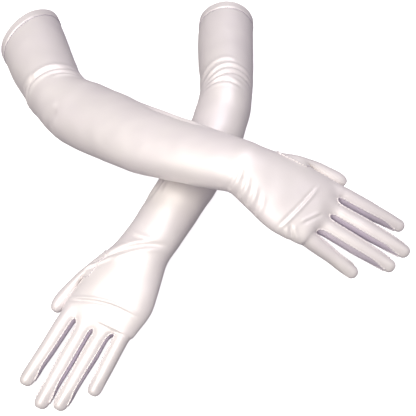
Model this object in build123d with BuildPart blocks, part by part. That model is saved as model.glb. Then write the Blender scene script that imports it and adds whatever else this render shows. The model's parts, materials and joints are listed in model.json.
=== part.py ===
from build123d import *

import os
from dataclasses import dataclass
from math import asin, atan2, cos, degrees, radians, sin, sqrt, tan

# A pair of over-the-elbow stretch-satin gloves in their filled-out worn shape, lying crossed on a
# flat surface, the right glove over the left. Millimetres, +Z up, fingers of both towards -Y.

# ---- cloth and running gaps -------------------------------------------------------------------
SLEEVE_WALL = 1.0
FINGER_WALL = 0.8
RUNNING_GAP = 0.5  # between an outer and an inner shell that turn on each other
PLAY = 0.1  # between rings that lie inside each other

# ---- sleeve: half widths (in the plane of the elbow's bend) and half heights -------------------
HEM_HALF_WIDTH = 42.0
ELBOW_HALF_WIDTH = 39.0
ELBOW_HALF_HEIGHT = 35.0
WRIST_HALF_WIDTH = 27.5
WRIST_HALF_HEIGHT = 21.0
FOREARM_FULLNESS = 1.8  # how far the forearm's sides swell beyond a straight taper
FOREARM_BOW = 10.0  # how far the forearm curves towards the elbow's outer side
ELBOW_OPEN = 12.0  # the open back of the elbow's ball, behind the hinge
WRIST_OPEN = 9.0  # the open back of the wrist's ball, behind the hinge
WRIST_SLICES = 3  # slices of the wrist's ball behind the hinge
WRIST_SETBACK = 12.0  # where the forearm sleeve ends, behind the wrist's hinge
OUTER_SETBACK = 6.0  # where the upper sleeve ends, on the elbow's outer side
INNER_SETBACK = 40.0  # and on its inner side, where the bend closes
HEM_WIDTH = 11.0
ELASTIC_WIDTH = 7.0
HEM_RING_WALL = 0.8

# ---- hand ----------------------------------------------------------------------------------------
PALM_HALF_WIDTH = 33.5
PALM_HALF_HEIGHT = 18.0
PALM_STATION = 32.0
KNUCKLE_HALF_WIDTH = 43.5
KNUCKLE_HALF_HEIGHT = 14.0
KNUCKLE_STATION = 78.0
BACK_SETBACK = 5.5  # where the back ends, behind each base knuckle
PALM_SETBACK = 10.6  # where the palm ends, clear of a bent finger
HAND_ROLL = 2.4  # degrees, the thumb side up

# ---- fingers: everything along the finger is counted from its base knuckle ---------------------
KNUCKLE_OPEN = 5.0  # the open back of a base knuckle's ball
MIDDLE_KNUCKLE_OPEN = 4.0
CROTCH = 19.0  # where the fingers part and the fourchettes start
FOURCHETTE_HALF_WIDTH = 4.0
FOURCHETTE_POINT = 1.2  # half width of the tapered end
TOP_SETBACK = 5.0  # where a root tube ends, behind the middle knuckle, above
BOTTOM_SETBACK = 9.4  # and below, clear of the bent tip


@dataclass
class Finger:
    """One finger's place on the hand and its sizes."""

    name: str
    knuckle_x: float
    knuckle_y: float  # towards the thumb
    length: float
    middle_knuckle: float
    root_radius: float
    middle_radius: float
    tip_radius: float
    fourchettes: tuple  # +1 on the thumb side, -1 on the little finger's side


FINGERS = [
    Finger("index", 76.0, 28.5, 98.0, 46.0, 9.3, 8.8, 7.4, (-1,)),
    Finger("middle", 80.0, 9.5, 105.0, 50.0, 9.3, 8.9, 7.5, (1, -1)),
    Finger("ring", 77.0, -10.5, 101.0, 48.0, 9.2, 8.6, 7.2, (1, -1)),
    Finger("little", 69.0, -29.0, 82.0, 38.0, 8.6, 7.9, 6.6, (1,)),
]

# ---- thumb: its joint, its bend and its tip, on the hand, y towards the thumb ------------------
THUMB_JOINT = (40.0, 33.0, -4.0)
THUMB_BEND = (62.0, 45.8, -5.0)
THUMB_TIP = (99.0, 49.0, -5.0)
THUMB_ROOT_RADIUS = 9.6
THUMB_BEND_RADIUS = 8.2
THUMB_TIP_RADIUS = 7.4
THUMB_OPEN = 5.0
THUMB_HOLE_GAP = 1.2


@dataclass
class Wear:
    """How one glove is worn and how it lies."""

    name: str
    thumb_side: int  # +1 with the thumb on the left of the hand's direction
    upper_length: float
    forearm_length: float
    upper_yaw: float
    forearm_yaw: float
    hand_yaw: float
    hand_slope: float
    past_crossing: float  # from the crossing to the wrist
    finger_yaw: tuple  # each finger's swing towards the thumb
    finger_slope: tuple  # and its rise from the hand's plane


RIGHT = Wear("right", 1, 135.0, 252.0, 117.6, -32.3, -28.0, -14.4, 78.0,
             (5.8, 0.0, -0.5, -2.6), (-4.0, 1.5, 0.0, -9.0))
LEFT = Wear("left", -1, 131.0, 230.0, 90.0, -115.0, -118.4, -5.1, 102.0,
            (0.2, -3.4, -1.5, -3.7), (1.2, 1.6, 1.6, 1.2))
CROSSING = (5.97, 4.32)  # in plan, from the origin under the middle of the pair
CROSSING_GAP = 1.2
CROSSING_LEAD = 0.05  # the right glove clears the left one this share before the crossing
FOREARM_SPANS = 5


def tilted(origin, yaw, slope=0.0, roll=0.0, frame=Plane.XY):
    """A frame at a point of another frame: x along a limb, z on its upper side."""
    turned = Location(origin, (roll, -slope, yaw), Extrinsic.XYZ)
    return Plane(frame.location * turned)


def station(frame, along, across=0.0, turn=0.0):
    """The plane of a cross-section: its X runs across the limb, its Y to the upper side."""
    placed = tilted((along, across, 0), turn, frame=frame)
    return Plane(origin=placed.origin, x_dir=placed.y_dir, z_dir=placed.x_dir)


def side_view(frame):
    """The plane through a limb's axis with X along it and Y to its upper side."""
    return Plane(origin=frame.origin, x_dir=frame.x_dir, z_dir=-frame.y_dir)


def taper(start, end, share):
    """A size part of the way from one end to the other."""
    return start + (end - start) * share


def ball_shell(frame, axis, half_width, half_height, wall, open_back):
    """Half of a hollow ball on a hinge, open behind it; the hinge's axis is its own."""
    with BuildPart() as ball:
        for thickness, mode in ((0.0, Mode.ADD), (wall, Mode.SUBTRACT)):
            with BuildSketch(axis):
                with BuildLine():
                    EllipticalCenterArc((0, 0), half_height - thickness, half_width - thickness,
                                        arc_size=180)
                    Line((half_height - thickness, 0), (thickness - half_height, 0))
                make_face()
            revolve(axis=Axis(axis.origin, axis.x_dir), mode=mode)
        split(bisect_by=station(frame, -open_back), keep=Keep.TOP)
        split(bisect_by=station(frame, 0), keep=Keep.BOTTOM)
    return ball.part


def sleeve_shell(frame, sections, wall, ruled=False):
    """A hollow tube lofted through ellipses: (along, across, turn, half width, half height)."""
    with BuildPart() as tube:
        for thickness, mode in ((0.0, Mode.ADD), (wall, Mode.SUBTRACT)):
            for along, across, turn, half_width, half_height in sections:
                with BuildSketch(station(frame, along, across, turn)):
                    Ellipse(half_width - thickness, half_height - thickness)
            loft(ruled=ruled, mode=mode)
    return tube.part


def forearm_section(wear, share):
    """The forearm's ellipse part of the way from the elbow to the wrist."""
    length = wear.forearm_length
    bow = -wear.thumb_side * FOREARM_BOW * 4 * share * (1 - share)
    lean = -wear.thumb_side * FOREARM_BOW * 4 * (1 - 2 * share) / length
    turn = degrees(lean) if 0 < share else 0.0
    swell = FOREARM_FULLNESS * 4 * share * (1 - share)
    half_width = taper(ELBOW_HALF_WIDTH, WRIST_HALF_WIDTH, share) + swell
    half_height = taper(ELBOW_HALF_HEIGHT, WRIST_HALF_HEIGHT, share)
    return length * share, bow, turn, half_width, half_height


def forearm_height(wear, elbow_height, slope, share):
    """How high the forearm's axis is part of the way along it."""
    return elbow_height + wear.forearm_length * share * sin(slope)


# ---- how the pair lies ---------------------------------------------------------------------------
# Both elbows rest on the surface. The left forearm slopes down until its wrist rests too, and the
# right forearm slopes up until it clears the left one where they cross.
ELBOW_HEIGHT = ELBOW_HALF_HEIGHT + RUNNING_GAP + SLEEVE_WALL
LEFT_WRIST_HEIGHT = WRIST_HALF_HEIGHT + RUNNING_GAP
LEFT_SLOPE = asin((LEFT_WRIST_HEIGHT - ELBOW_HEIGHT) / LEFT.forearm_length)
left_share = 1 - LEFT.past_crossing / LEFT.forearm_length
right_share = 1 - RIGHT.past_crossing / RIGHT.forearm_length
left_top = (forearm_height(LEFT, ELBOW_HEIGHT, LEFT_SLOPE, left_share)
            + forearm_section(LEFT, left_share)[4])
right_height = left_top + CROSSING_GAP + forearm_section(RIGHT, right_share)[4]
RIGHT_SLOPE = asin((right_height - ELBOW_HEIGHT)
                   / (RIGHT.forearm_length * right_share - RIGHT.past_crossing * CROSSING_LEAD))


@dataclass
class Glove:
    """The frames of one glove's bodies, worked out from how it lies."""

    wear: Wear
    forearm: Plane
    upper: Plane
    hand: Plane
    fingers: list


def lay_out(wear, slope):
    """Place the forearm through the crossing and hang the other bodies on it."""
    behind = wear.forearm_length - wear.past_crossing
    yaw = radians(wear.forearm_yaw)
    elbow = (CROSSING[0] - behind * cos(slope) * cos(yaw),
             CROSSING[1] - behind * cos(slope) * sin(yaw), ELBOW_HEIGHT)
    forearm = tilted(elbow, wear.forearm_yaw, degrees(slope))
    upper = tilted(elbow, wear.upper_yaw)
    wrist = forearm.from_local_coords((wear.forearm_length, 0, 0))
    hand = tilted(wrist, wear.hand_yaw, wear.hand_slope, wear.thumb_side * HAND_ROLL)
    fingers = []
    for finger, swing, rise in zip(FINGERS, wear.finger_yaw, wear.finger_slope):
        knuckle = (finger.knuckle_x, wear.thumb_side * finger.knuckle_y, 0)
        fingers.append(tilted(knuckle, wear.thumb_side * swing, rise, frame=hand))
    return Glove(wear, forearm, upper, hand, fingers)


def save(piece, name):
    """Label a finished piece and write it as its own node."""
    piece.part.label = name
    export_step(piece.part, f"parts/{name}.step")


def forearm_sleeve(glove):
    """The forearm length of the trank, with the elbow's ball at its upper end."""
    wear, frame = glove.wear, glove.forearm
    hinge = Plane(origin=frame.origin, x_dir=frame.z_dir, z_dir=-frame.y_dir)
    ends = 1 - WRIST_SETBACK / wear.forearm_length
    with BuildPart() as sleeve:
        add(ball_shell(frame, hinge, ELBOW_HALF_WIDTH, ELBOW_HALF_HEIGHT, SLEEVE_WALL, ELBOW_OPEN))
        add(sleeve_shell(frame, [forearm_section(wear, ends * share / FOREARM_SPANS)
                                 for share in range(FOREARM_SPANS + 1)], SLEEVE_WALL))
    return sleeve


def upper_sleeve(glove):
    """The upper arm's length of the trank, cut back where the elbow's bend closes."""
    wear, frame = glove.wear, glove.upper
    half_width = ELBOW_HALF_WIDTH + RUNNING_GAP + SLEEVE_WALL
    half_height = ELBOW_HALF_HEIGHT + RUNNING_GAP + SLEEVE_WALL
    across = 2 * half_width
    slant = degrees(asin((INNER_SETBACK - OUTER_SETBACK) / across))
    middle = (INNER_SETBACK + OUTER_SETBACK) / 2
    with BuildPart() as sleeve:
        add(sleeve_shell(frame, [(0, 0, 0, half_width, half_height),
                                 (wear.upper_length, 0, 0, HEM_HALF_WIDTH, half_height)],
                         SLEEVE_WALL))
        split(bisect_by=station(frame, middle, 0, wear.thumb_side * slant), keep=Keep.TOP)
    return sleeve


def hem_ring(glove, width, end_gap, inset, wall):
    """A ring inside the sleeve's mouth."""
    wear = glove.wear
    half_width = ELBOW_HALF_WIDTH + RUNNING_GAP + SLEEVE_WALL
    half_height = ELBOW_HALF_HEIGHT + RUNNING_GAP + SLEEVE_WALL - inset
    ends = []
    for along in (wear.upper_length - end_gap - width, wear.upper_length - end_gap):
        mouth = taper(half_width, HEM_HALF_WIDTH, along / wear.upper_length) - inset
        ends.append((along, 0, 0, mouth, half_height))
    with BuildPart() as ring:
        add(sleeve_shell(glove.upper, ends, wall))
    return ring


def knuckle_line(wear, setback):
    """The plan outline of the hand up to a line that runs a little behind the base knuckles."""
    reach = 2 * KNUCKLE_HALF_WIDTH
    ends = [(finger.knuckle_x - setback, wear.thumb_side * finger.knuckle_y) for finger in FINGERS]
    first = (ends[0][0], wear.thumb_side * reach)
    last = (ends[-1][0], -wear.thumb_side * reach)
    return [(-reach, wear.thumb_side * reach), first, *ends, last, (-reach, -wear.thumb_side * reach)]


def thumb_point(wear, point):
    """A thumb point in the hand's frame, mirrored for the left hand."""
    return (point[0], wear.thumb_side * point[1], point[2])


def wrist_section(along):
    """A slice of the wrist's ball, which turns on the hinge across the wrist."""
    share = sqrt(1 - (along / WRIST_HALF_HEIGHT) ** 2)
    return (along, 0, 0, WRIST_HALF_WIDTH * share, WRIST_HALF_HEIGHT * share)


def hand_half(glove, upward, setback):
    """The back (upward 1) or the palm (upward -1) of the hand, open for the thumb."""
    wear, frame = glove.wear, glove.hand
    sections = [*(wrist_section(-WRIST_OPEN * share / WRIST_SLICES)
                  for share in range(WRIST_SLICES, -1, -1)),
                (PALM_STATION, 0, 0, PALM_HALF_WIDTH, PALM_HALF_HEIGHT),
                (KNUCKLE_STATION, 0, 0, KNUCKLE_HALF_WIDTH, KNUCKLE_HALF_HEIGHT)]
    turn = atan2(THUMB_BEND[1] - THUMB_JOINT[1], THUMB_BEND[0] - THUMB_JOINT[0])
    room = THUMB_ROOT_RADIUS + THUMB_HOLE_GAP
    behind = THUMB_JOINT[0] - room
    inside = THUMB_JOINT[1] - room / cos(turn)
    ahead = 2 * KNUCKLE_STATION
    side = wear.thumb_side
    hole = [(behind, side * inside), (THUMB_JOINT[0], side * inside),
            (ahead, side * (inside + (ahead - THUMB_JOINT[0]) * tan(turn))),
            (ahead, side * 2 * KNUCKLE_HALF_WIDTH), (behind, side * 2 * KNUCKLE_HALF_WIDTH)]
    with BuildPart() as half:
        add(sleeve_shell(frame, sections, SLEEVE_WALL, ruled=True))
        with BuildSketch(frame):
            Polygon(*knuckle_line(wear, setback), align=None)
        extrude(amount=upward * 2 * WRIST_HALF_HEIGHT, mode=Mode.INTERSECT)
        with BuildSketch(Plane(frame.location * Location((0, 0, THUMB_JOINT[2])))):
            Polygon(*hole, align=None)
        extrude(amount=room, both=True, mode=Mode.SUBTRACT)
    return half


def finger_root_shell(finger, frame):
    """A finger's tube from its base knuckle to its middle knuckle."""
    wall, ball = FINGER_WALL, finger.root_radius
    end, end_radius = finger.middle_knuckle - TOP_SETBACK, finger.middle_radius
    slant = degrees(asin((BOTTOM_SETBACK - TOP_SETBACK) / (2 * end_radius)))
    middle = finger.middle_knuckle - (TOP_SETBACK + BOTTOM_SETBACK) / 2
    with BuildPart() as tube:
        with BuildSketch(side_view(frame)):
            with BuildLine():
                rim = degrees(asin(KNUCKLE_OPEN / ball))
                inner_rim = degrees(asin(KNUCKLE_OPEN / (ball - wall)))
                outside = CenterArc((0, 0), ball, 90, rim)
                inside = CenterArc((0, 0), ball - wall, 90, inner_rim)
                Polyline(outside @ 0, (end, end_radius), (end, end_radius - wall), inside @ 0)
                Line(outside @ 1, inside @ 1)
            make_face()
        revolve(axis=Axis(frame.origin, frame.x_dir))
        cut = side_view(frame)
        lean = Vector(1, 0, 0).rotate(Axis.Y, -slant)
        origin = frame.from_local_coords((middle, 0, 0))
        normal = frame.from_local_coords(lean) - frame.origin
        split(bisect_by=Plane(origin=origin, x_dir=cut.z_dir, z_dir=normal), keep=Keep.BOTTOM)
    return tube


def finger_tip_shell(finger, frame):
    """A finger's closed end, from its middle knuckle on."""
    wall, ball, tip = FINGER_WALL, finger.middle_radius, finger.tip_radius
    end = finger.length - finger.middle_knuckle - tip
    with BuildPart() as tube:
        with BuildSketch(side_view(frame)):
            with BuildLine():
                rim = degrees(asin(MIDDLE_KNUCKLE_OPEN / ball))
                inner_rim = degrees(asin(MIDDLE_KNUCKLE_OPEN / (ball - wall)))
                outside = CenterArc((0, 0), ball, 90, rim)
                inside = CenterArc((0, 0), ball - wall, 90, inner_rim)
                outer_tip = CenterArc((end, 0), tip, 0, 90)
                inner_tip = CenterArc((end, 0), tip - wall, 0, 90)
                Line(outside @ 0, outer_tip @ 1)
                Line(inside @ 0, inner_tip @ 1)
                Line(outside @ 1, inside @ 1)
                Line(outer_tip @ 0, inner_tip @ 0)
            make_face()
        revolve(axis=Axis(frame.origin, frame.x_dir))
    return tube


def strip_outline(start, end, end_half_width):
    """A fourchette seen from the side of its finger."""
    half = FOURCHETTE_HALF_WIDTH
    return [(start, -half), (end, -end_half_width), (end, end_half_width), (start, half)]


def cut_strips(tube, frame, outline, sides):
    """The trank part of a finger length: the tube without its fourchettes."""
    with BuildPart() as trank:
        add(tube.part)
        for side in sides:
            with BuildSketch(side_view(frame)):
                Polygon(*outline, align=None)
            extrude(amount=-side * 2 * outline[-1][1] * 2, mode=Mode.SUBTRACT)
    return trank


def take_strip(tube, frame, outline, side):
    """One fourchette: the strip of the tube inside its outline."""
    with BuildPart() as strip:
        add(tube.part)
        with BuildSketch(side_view(frame)):
            Polygon(*outline, align=None)
        extrude(amount=-side * 2 * outline[-1][1] * 2, mode=Mode.INTERSECT)
    return strip


def save_finger_length(glove, finger, length_name, tube, frame, outline):
    """Write one length of a finger: its trank part and its fourchettes."""
    wear = glove.wear
    name = f"{wear.name}_{finger.name}_{length_name}"
    sides = [wear.thumb_side * side for side in finger.fourchettes]
    save(cut_strips(tube, frame, outline, sides), name)
    for side, facing in zip(sides, finger.fourchettes):
        place = "thumb_side" if facing > 0 else "little_side"
        save(take_strip(tube, frame, outline, side), f"{name}_fourchette_{place}")


def save_finger(glove, finger, root_frame):
    """Write both lengths of a finger."""
    tip_frame = tilted((finger.middle_knuckle, 0, 0), 0, frame=root_frame)
    tip_end = finger.length - finger.middle_knuckle - finger.tip_radius - FOURCHETTE_HALF_WIDTH / 2
    root_strip = strip_outline(CROTCH, finger.length, FOURCHETTE_HALF_WIDTH)
    tip_strip = strip_outline(MIDDLE_KNUCKLE_OPEN + 1, tip_end, FOURCHETTE_POINT)
    save_finger_length(glove, finger, "root", finger_root_shell(finger, root_frame), root_frame,
                       root_strip)
    save_finger_length(glove, finger, "tip", finger_tip_shell(finger, tip_frame), tip_frame,
                       tip_strip)


def thumb_solid(frame, joint, bend, tip, inset):
    """The thumb's bent tube, filled: a ball at its joint, a round end, and `inset` thinner."""
    end = tip - (tip - bend).normalized() * THUMB_TIP_RADIUS
    at_joint, at_end = in_frame(frame, joint, bend - joint), in_frame(frame, end, tip - bend)
    at_bend = in_frame(frame, bend, (bend - joint).normalized() + (tip - bend).normalized())
    with BuildPart() as thumb:
        for plane, radius in ((at_joint, THUMB_ROOT_RADIUS), (at_bend, THUMB_BEND_RADIUS),
                              (at_end, THUMB_TIP_RADIUS)):
            with BuildSketch(plane):
                Circle(radius - inset)
        loft()
        with Locations(at_end):
            Sphere(THUMB_TIP_RADIUS - inset, arc_size1=0)
        with Locations(at_joint):
            Sphere(THUMB_ROOT_RADIUS - inset, arc_size2=0)
    return thumb.part


def thumb_tube(glove):
    """The set-in thumb: a bent hollow tube, open behind its joint."""
    frame = glove.hand
    joint, bend, tip = (Vector(thumb_point(glove.wear, point))
                        for point in (THUMB_JOINT, THUMB_BEND, THUMB_TIP))
    along = (bend - joint).normalized()
    with BuildPart() as thumb:
        add(thumb_solid(frame, joint, bend, tip, 0.0))
        add(thumb_solid(frame, joint, bend, tip, FINGER_WALL), mode=Mode.SUBTRACT)
        split(bisect_by=in_frame(frame, joint - along * THUMB_OPEN, along), keep=Keep.TOP)
    return thumb


def in_frame(frame, point, direction):
    """A plane at a point of a frame, facing a direction of that frame."""
    origin = frame.from_local_coords(point)
    normal = frame.from_local_coords(direction) - frame.origin
    return Plane(origin=origin, x_dir=normal.cross(frame.z_dir), z_dir=normal)


def make_glove(wear, slope):
    """Build and write every piece of one glove."""
    glove = lay_out(wear, slope)
    save(forearm_sleeve(glove), f"{wear.name}_forearm_sleeve")
    save(upper_sleeve(glove), f"{wear.name}_upper_sleeve")
    elastic_inset = SLEEVE_WALL + PLAY
    facing_inset = elastic_inset + HEM_RING_WALL + PLAY
    fold = HEM_WIDTH - ELASTIC_WIDTH
    save(hem_ring(glove, ELASTIC_WIDTH, fold / 2, elastic_inset, HEM_RING_WALL),
         f"{wear.name}_hem_elastic")
    save(hem_ring(glove, HEM_WIDTH, 0, facing_inset, HEM_RING_WALL), f"{wear.name}_hem_facing")
    save(hand_half(glove, 1, BACK_SETBACK), f"{wear.name}_hand_back")
    save(hand_half(glove, -1, PALM_SETBACK), f"{wear.name}_hand_palm")
    save(thumb_tube(glove), f"{wear.name}_thumb")
    for finger, frame in zip(FINGERS, glove.fingers):
        save_finger(glove, finger, frame)
    return glove


os.makedirs("parts", exist_ok=True)
make_glove(LEFT, LEFT_SLOPE)
make_glove(RIGHT, RIGHT_SLOPE)
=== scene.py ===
"""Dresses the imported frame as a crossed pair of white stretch-satin opera gloves."""

import json
import logging
import math
from dataclasses import dataclass, field
from enum import Enum

import bmesh
import bpy
import numpy as np
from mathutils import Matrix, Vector, noise

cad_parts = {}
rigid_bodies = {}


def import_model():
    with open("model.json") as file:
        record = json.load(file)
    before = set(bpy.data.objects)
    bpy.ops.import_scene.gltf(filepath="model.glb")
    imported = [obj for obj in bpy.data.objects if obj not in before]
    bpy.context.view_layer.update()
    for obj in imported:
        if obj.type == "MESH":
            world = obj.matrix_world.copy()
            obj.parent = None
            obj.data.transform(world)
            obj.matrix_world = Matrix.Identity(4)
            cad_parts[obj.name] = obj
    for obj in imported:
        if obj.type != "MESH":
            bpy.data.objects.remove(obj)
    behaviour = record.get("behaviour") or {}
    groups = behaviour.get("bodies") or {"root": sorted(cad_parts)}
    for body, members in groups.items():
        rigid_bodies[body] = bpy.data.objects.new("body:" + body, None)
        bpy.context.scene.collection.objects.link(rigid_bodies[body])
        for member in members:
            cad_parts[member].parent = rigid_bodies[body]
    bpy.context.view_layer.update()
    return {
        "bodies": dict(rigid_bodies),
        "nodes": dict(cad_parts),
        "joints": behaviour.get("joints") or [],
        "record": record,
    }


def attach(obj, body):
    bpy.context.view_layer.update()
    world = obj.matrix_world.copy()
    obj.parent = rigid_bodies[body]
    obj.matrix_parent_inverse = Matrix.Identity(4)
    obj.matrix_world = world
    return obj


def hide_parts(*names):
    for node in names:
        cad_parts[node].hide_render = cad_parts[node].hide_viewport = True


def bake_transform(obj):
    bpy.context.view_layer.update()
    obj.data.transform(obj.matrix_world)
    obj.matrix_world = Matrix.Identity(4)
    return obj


LOG = logging.getLogger("gloves")
MM = 0.001

# ---- the cage: how many vertices go round a limb, and how finely it is smoothed -----------------
SLEEVE_RING = 20
CAP_COLUMNS = 8
CAP_ROWS = 2
SMOOTHING = 3
CLOTH = 0.6  # thickness of the satin, mm

# ---- the cloth's slack: a broad and a narrow unevenness ------------------------------------------
SLACK_BROAD = 0.038  # m
SLACK_NARROW = 0.016
SLACK_LIFTS = (0.9, 0.35)  # mm
SLACK_SHIFT = Vector((3.1, 7.7, 1.3))  # parts the two gloves' patterns

# ---- sewing, mm ---------------------------------------------------------------------------------
WELT_RADIUS = 0.75
STITCH_RADIUS = 0.3
STITCH_SPACING = 3.2
STITCH_REACH = 0.85  # half a stitch
HEM_STITCH_RADIUS = 0.24
HEM_ROLL_RADIUS = 1.1

# ---- the sleeve: where its rings lie, mm --------------------------------------------------------
HEM_WIDTH = 11.0
HEM_LIFT = 0.8  # how far the doubled cloth stands out
RING_SPACING = 12.0
ELBOW_REACH = 34.0  # how far from the elbow its bend begins
ELBOW_BLEND = ELBOW_REACH + 16.0
WRIST_BLEND = (34.0, 26.0)  # how far from the wrist, on the forearm and on the hand, mm; nothing bends the pieces there
WRIST_REACH = 20.0
UPPER_HALF_HEIGHT = 36.0
ELBOW_HALF_HEIGHT = 35.0
WRIST_HALF_HEIGHT = 21.0
WRIST_RINGS = (0.0, -10.0)
ELBOW_RINGS = 5
BAND_SHARE = 0.45  # where the sleeve's two lengths of cloth meet, as a share of the forearm

# ---- the hand, mm in its own frame: x to the fingers, y to the thumb ----------------------------
HAND_RINGS = (8.0, 22.0, 38.0, 54.0, 62.0, 70.0, 78.0, 86.0)
THUMB_RINGS = (22.0, 38.0, 54.0)
BACK_START = 54.0
PALM_STATION = 32.0
PALM_HALF_HEIGHT = 18.0
KNUCKLE_HALF_HEIGHT = 13.0
KNUCKLE_BEND = (62.0, 86.0)
CROTCH = 19.0
ROOT_END = 33.0
KNUCKLE_REACH = 10.0  # how far each way from a middle knuckle, mm; nothing bends the pieces there
FORK_ANGLE = math.radians(42.0)  # how far round a finger its fourchettes reach


class Slot(Enum):
    """The record's material slots."""

    SATIN = "satin"
    ELASTIC = "elastic"


class Profile(Enum):
    """The shape of a fold across its line."""

    RIDGE = "ridge"
    CREASE = "crease"
    OVERLAP = "overlap"


@dataclass(frozen=True)
class Frame:
    """A limb's frame: x towards the fingers, z to its upper side."""

    origin: Vector
    x: Vector
    y: Vector
    z: Vector

    def at(self, x: float, y: float, z: float) -> Vector:
        """Gives the place of a local point.

        Args:
            x: Millimetres along the limb.
            y: Millimetres across it.
            z: Millimetres towards its upper side.

        Returns:
            The point in the shared frame, in metres.
        """
        return self.origin + (self.x * x + self.y * y + self.z * z) * MM

    def local(self, points: np.ndarray) -> np.ndarray:
        """Turns points of the shared frame into this one.

        Args:
            points: An (n, 3) array in metres.

        Returns:
            An (n, 3) array in local millimetres.
        """
        axes = np.array([self.x, self.y, self.z])
        return (points - np.array(self.origin)) @ axes.T / MM


def frame_from(origin: Vector, x: Vector, y: Vector) -> Frame:
    """Builds a right-handed frame.

    Args:
        origin: Its origin.
        x: Its first axis.
        y: A vector near its second axis.

    Returns:
        The frame.
    """
    x = x.normalized()
    z = x.cross(y).normalized()
    return Frame(origin, x, z.cross(x), z)


@dataclass(frozen=True)
class Side:
    """A half width at a station, mm: on the thumb's side and on the little finger's side."""

    at: float
    thumb: float
    little: float


@dataclass(frozen=True)
class FingerShape:
    """One finger, mm in the hand's frame, counted from its base knuckle."""

    name: str
    knuckle_x: float
    knuckle_y: float
    length: float
    root_radius: float
    middle_radius: float
    tip_radius: float
    forks: tuple[int, ...]
    column: int
    middle_knuckle: float


FINGERS = (
    FingerShape("index", 76.0, 28.5, 98.0, 9.3, 8.8, 7.4, (-1,), 7, 46.0),
    FingerShape("middle", 80.0, 9.5, 105.0, 9.3, 8.9, 7.5, (1, -1), 5, 50.0),
    FingerShape("ring", 77.0, -10.5, 101.0, 9.2, 8.6, 7.2, (1, -1), 3, 48.0),
    FingerShape("little", 69.0, -29.0, 82.0, 8.6, 7.9, 6.6, (1,), 1, 38.0),
)


@dataclass(frozen=True)
class ThumbRing:
    """A ring of the thumb: its outer and its inner point and its half height, mm."""

    outer: tuple[float, float]
    inner: tuple[float, float]
    half_height: float
    height: float


THUMB = (
    ThumbRing((29.0, 37.0), (57.5, 38.5), 11.0, -2.5),
    ThumbRing((39.0, 42.0), (61.0, 39.3), 10.2, -3.5),
    ThumbRing((49.0, 46.3), (64.5, 38.8), 9.4, -4.4),
    ThumbRing((59.0, 49.8), (69.5, 38.0), 8.8, -5.0),
    ThumbRing((69.0, 52.2), (76.0, 37.6), 8.3, -5.0),
    ThumbRing((79.0, 53.6), (83.0, 37.9), 8.0, -5.0),
    ThumbRing((88.0, 54.2), (90.0, 39.0), 7.5, -5.0),
    ThumbRing((94.5, 53.2), (95.3, 40.6), 6.3, -5.0),
    ThumbRing((98.6, 50.6), (98.8, 43.0), 3.9, -5.0),
)
THUMB_BEND = ((55.0, 41.0, -4.5), (70.0, 48.0, -5.0))


@dataclass(frozen=True)
class Fold:
    """A fold of the cloth along a line in a limb's plan.

    Attributes:
        limb: Which frame its line is in.
        line: Points of the line, mm; y is towards the thumb.
        width: Half its breadth, mm.
        height: How far it stands up, mm.
        profile: Its shape across the line.
    """

    limb: str
    line: tuple[tuple[float, float], ...]
    width: float
    height: float
    profile: Profile = Profile.OVERLAP


@dataclass(frozen=True)
class Wear:
    """One glove: which hand it is for, its outline and its folds."""

    name: str
    thumb_side: int
    upper: tuple[Side, ...]
    forearm: tuple[Side, ...]
    hand: tuple[Side, ...]
    finger_yaw: tuple[float, ...]
    finger_slope: tuple[float, ...]
    hem_slant: float
    hem_setback: float
    folds: tuple[Fold, ...]


RIGHT_FOLDS = (
    # the closing bend of the elbow
    Fold("forearm", ((-6, 46), (-14, 30), (-26, 10), (-40, -16), (-46, -34)), 3.0, 2.2, Profile.CREASE),
    Fold("forearm", ((8, 46), (2, 34), (-8, 20), (-14, 8)), 2.8, 1.7, Profile.OVERLAP),
    Fold("forearm", ((-2, 46), (-10, 36), (-20, 24)), 2.4, 1.3, Profile.RIDGE),
    Fold("forearm", ((-34, 2), (-40, -8), (-50, -18)), 3.2, 1.6, Profile.CREASE),
    Fold("forearm", ((-2, -44), (8, -34), (24, -26)), 5.0, 1.4, Profile.CREASE),
    # the long pressed fold along the upper edge
    Fold("forearm", ((110, 24), (136, 21), (168, 22), (200, 24)), 2.4, 1.8, Profile.OVERLAP),
    # short folds at the wrist, on the little finger's side
    Fold("hand", ((-4, -12), (0, -22), (-1, -34)), 2.6, 1.0, Profile.OVERLAP),
    Fold("hand", ((6, -16), (11, -26), (10, -38)), 2.6, 1.3, Profile.OVERLAP),
    Fold("hand", ((17, -20), (22, -30), (21, -41)), 2.6, 1.2, Profile.OVERLAP),
    Fold("hand", ((28, -24), (33, -34), (32, -44)), 2.6, 1.0, Profile.OVERLAP),
    Fold("hand", ((66, -34), (72, -40), (80, -44)), 2.2, 1.0, Profile.CREASE),
    # the fold pressed across the back of the hand
    Fold("hand", ((72, 16), (69, 0), (65, -18), (58, -42)), 1.8, 1.5, Profile.OVERLAP),
    Fold("hand", ((74, -27), (81, -17), (88, -6)), 1.6, 1.0, Profile.OVERLAP),
)
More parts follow.
